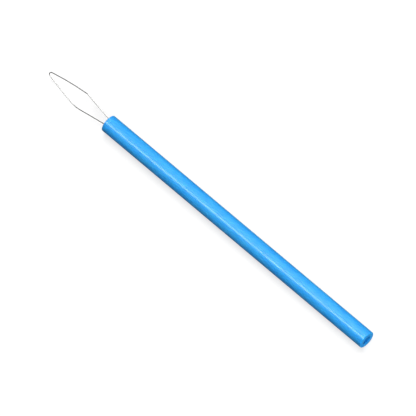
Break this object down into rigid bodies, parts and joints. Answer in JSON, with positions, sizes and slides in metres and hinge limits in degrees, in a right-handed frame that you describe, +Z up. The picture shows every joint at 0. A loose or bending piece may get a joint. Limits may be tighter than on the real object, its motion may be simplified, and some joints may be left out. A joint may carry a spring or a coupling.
{
  "type": "needle threader",
  "caption": "Slim plastic tube handle with a spring wire folded into a long diamond loop that squeezes flat to pass a needle's eye.",
  "frame": {"origin": "on the surface that the handle lies on, below the middle of the whole length", "axes": "+X along the handle towards the nose of the wire loop, +Y across the loop, +Z up, square to the loop's plane"},
  "size_m": [0.0924, 0.004, 0.004],
  "materials": {
    "blue_plastic": "smooth extruded, gloss",
    "spring_wire": "drawn wire, bright",
    "adhesive": "cured, translucent amber"
  },
  "bodies": {
    "handle": {"handle_tube": "blue_plastic", "adhesive_plug": "adhesive", "wire_tail_left": "spring_wire", "wire_tail_right": "spring_wire"},
    "rear_arm_left": {"wire_rear_arm_left": "spring_wire"},
    "front_arm_left": {"wire_front_arm_left": "spring_wire"},
    "front_arm_right": {"wire_front_arm_right": "spring_wire"},
    "rear_arm_right": {"wire_rear_arm_right": "spring_wire"}
  },
  "joints": [
    {"name": "left_root_flex", "type": "hinge", "parent": "handle", "child": "rear_arm_left", "pos_m": [0.0258, 0.00019, 0.002], "axis": [0, 0, -1], "range_deg": [0, 8.6], "stiffness_Nm_per_rad": 0.00003},
    {"name": "left_corner_flex", "type": "hinge", "parent": "rear_arm_left", "child": "front_arm_left", "pos_m": [0.03665, 0.0019, 0.002], "axis": [0, 0, 1], "range_deg": [0, 18.5], "stiffness_Nm_per_rad": 0.000015},
    {"name": "nose_flex", "type": "hinge", "parent": "front_arm_left", "child": "front_arm_right", "pos_m": [0.0461, 0, 0.002], "axis": [0, 0, -1], "range_deg": [0, 19.8], "stiffness_Nm_per_rad": 0.000015},
    {"name": "right_corner_flex", "type": "hinge", "parent": "front_arm_right", "child": "rear_arm_right", "pos_m": [0.03665, -0.0019, 0.002], "axis": [0, 0, 1], "range_deg": [0, 18.5], "stiffness_Nm_per_rad": 0.000015}
  ],
  "couplings": [
    {"joint": "left_corner_flex", "follows": "left_root_flex", "ratio": 2.144},
    {"joint": "nose_flex", "follows": "left_root_flex", "ratio": 2.288},
    {"joint": "right_corner_flex", "follows": "left_root_flex", "ratio": 2.144}
  ]
}
